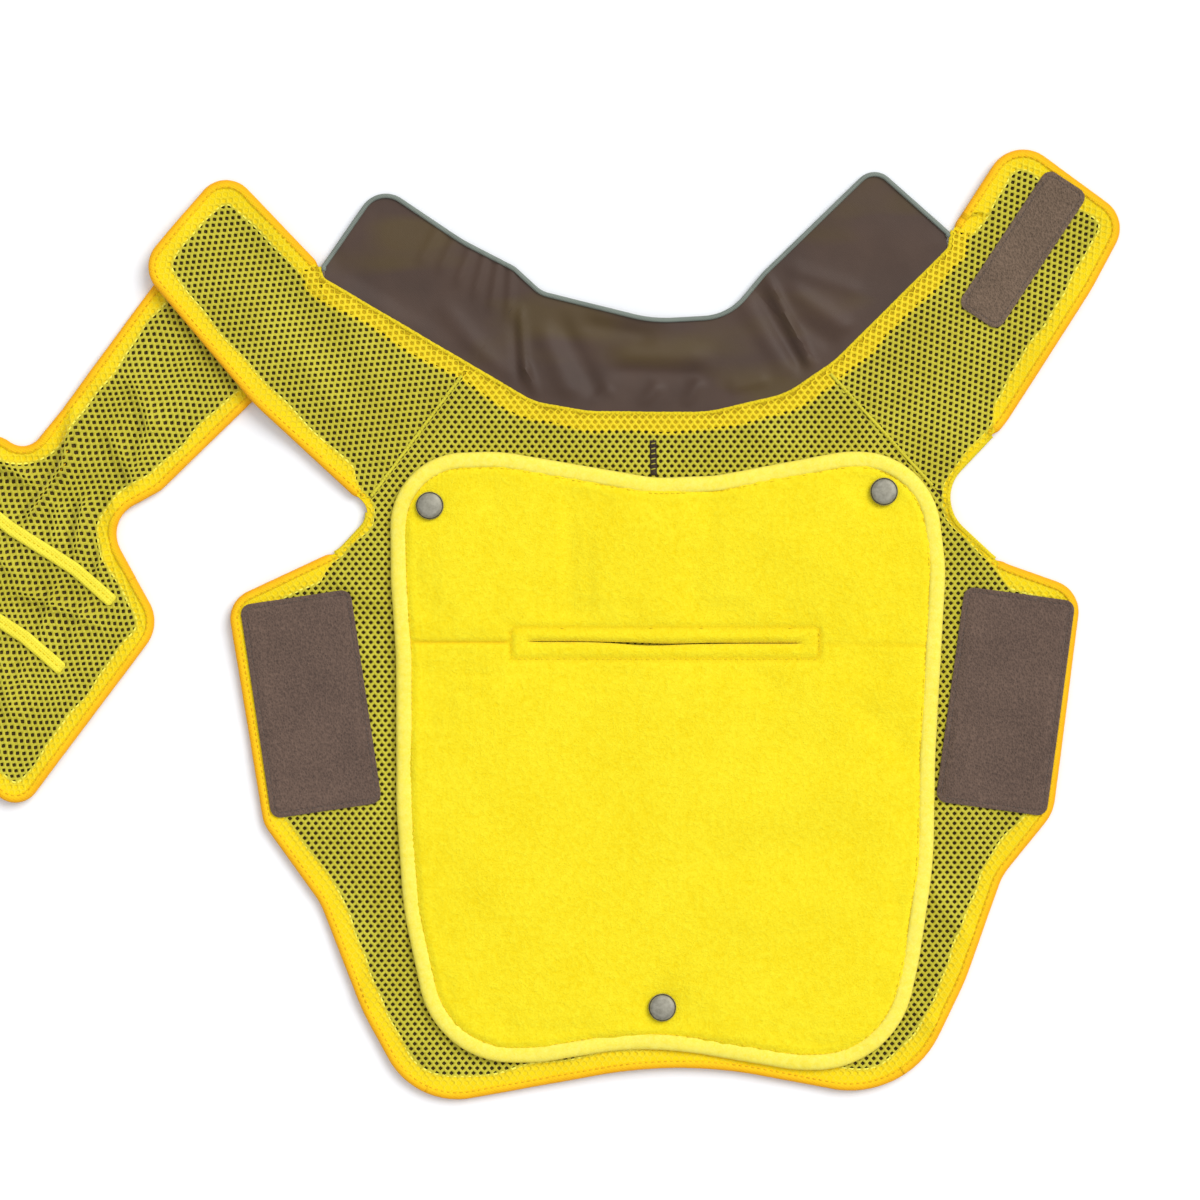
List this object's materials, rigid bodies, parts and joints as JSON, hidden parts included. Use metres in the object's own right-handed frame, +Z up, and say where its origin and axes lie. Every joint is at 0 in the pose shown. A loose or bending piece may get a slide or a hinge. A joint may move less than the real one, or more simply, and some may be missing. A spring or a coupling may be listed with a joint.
{
  "type": "dog coat",
  "caption": "Small dog's coat laid open, lining up: mesh-lined back with side flaps and neck straps, a collar, a folding belly panel and a snap-in fleece liner.",
  "frame": {"origin": "on the table plane, under the middle of the back panel", "axes": "+Z up out of the lining, +Y towards the neck, +X towards the dog's left side as laid, away from the belly panel"},
  "size_m": [0.5988, 0.426, 0.011],
  "materials": {
    "shell": "matt woven shell fabric",
    "membrane": "dark coated layer",
    "mesh": "knitted mesh",
    "binding": "soft folded tape",
    "taffeta": "slightly shiny taffeta",
    "piping": "reflective piping",
    "patch": "hook-and-loop tape",
    "fleece": "short fleece",
    "liner_binding": "soft folded tape",
    "tape": "elastic tape",
    "hanger": "narrow woven tape",
    "snap_metal": "worn pressed metal"
  },
  "bodies": {
    "back_panel": {"coat_shell": "shell", "coat_membrane": "membrane", "coat_lining": "mesh", "hem_binding": "binding", "collar_centre": "taffeta", "collar_centre_piping": "piping", "hanger_tape": "hanger", "snap_stud_left": "snap_metal", "snap_stud_right": "snap_metal", "snap_stud_lower": "snap_metal"},
    "left_flap": {"left_flap_shell": "shell", "left_flap_lining": "mesh", "left_flap_binding": "binding", "left_flap_loop_patch": "patch"},
    "right_flap": {"right_flap_shell": "shell", "right_flap_lining": "mesh", "right_flap_binding": "binding", "right_flap_loop_patch": "patch"},
    "left_strap": {"left_strap_shell": "shell", "left_strap_membrane": "membrane", "left_strap_lining": "mesh", "left_strap_binding": "binding", "collar_left": "taffeta", "collar_left_piping": "piping", "left_strap_loop_patch": "patch", "belly_tongue": "shell"},
    "right_strap": {"right_strap_shell": "shell", "right_strap_membrane": "membrane", "right_strap_lining": "mesh", "right_strap_binding": "binding", "collar_right": "taffeta", "collar_right_piping": "piping", "right_strap_hook_patch": "patch"},
    "belly_panel": {"belly_shell": "shell", "belly_membrane": "membrane", "belly_lining": "mesh", "belly_near_binding": "binding", "belly_far_binding": "binding", "belly_lower_binding": "binding", "belly_upper_tape": "tape", "belly_lower_tape": "tape"},
    "near_tab": {"near_tab_shell": "shell", "near_tab_lining": "mesh", "near_tab_binding": "binding", "near_tab_hook_strip": "patch"},
    "far_tab": {"far_tab_shell": "shell", "far_tab_lining": "mesh", "far_tab_binding": "binding", "far_tab_hook_strip": "patch"},
    "fleece_liner": {"liner_backing": "fleece", "liner_fleece": "fleece", "liner_binding": "liner_binding", "slot_welt": "fleece", "snap_cap_left": "snap_metal", "snap_cap_right": "snap_metal", "snap_cap_lower": "snap_metal", "snap_socket_left": "snap_metal", "snap_socket_right": "snap_metal", "snap_socket_lower": "snap_metal"}
  },
  "joints": [
    {"name": "left_flap_fold", "type": "hinge", "parent": "back_panel", "child": "left_flap", "pos_m": [-0.1224, -0.0273, 0.0032], "axis": [-0.0859, 0.9963, 0], "range_deg": [0, 85]},
    {"name": "right_flap_fold", "type": "hinge", "parent": "back_panel", "child": "right_flap", "pos_m": [0.12625, -0.0214, 0.0032], "axis": [-0.0646, -0.9979, 0], "range_deg": [0, 80]},
    {"name": "left_strap_fold", "type": "hinge", "parent": "back_panel", "child": "left_strap", "pos_m": [-0.1069, 0.1384, 0.0043], "axis": [0.5992, 0.8006, 0], "range_deg": [0, 85]},
    {"name": "right_strap_fold", "type": "hinge", "parent": "back_panel", "child": "right_strap", "pos_m": [0.10125, 0.13905, 0.0032], "axis": [0.6735, -0.7391, 0], "range_deg": [0, 85]},
    {"name": "belly_panel_fold", "type": "hinge", "parent": "left_strap", "child": "belly_panel", "pos_m": [-0.20683, 0.18191, 0.0032], "axis": [-0.6429, 0.766, 0], "range_deg": [0, 50]},
    {"name": "near_tab_fold", "type": "hinge", "parent": "belly_panel", "child": "near_tab", "pos_m": [-0.2678, 0.0223, 0.0043], "axis": [-0.6, -0.8, 0], "range_deg": [0, 80]},
    {"name": "far_tab_fold", "type": "hinge", "parent": "belly_panel", "child": "far_tab", "pos_m": [-0.3486, 0.0829, 0.0043], "axis": [0.6, 0.8, 0], "range_deg": [0, 80]},
    {"name": "liner_unsnap", "type": "slide", "parent": "back_panel", "child": "fleece_liner", "axis": [0, 0, 1], "range_m": [0, 0.035]}
  ]
}
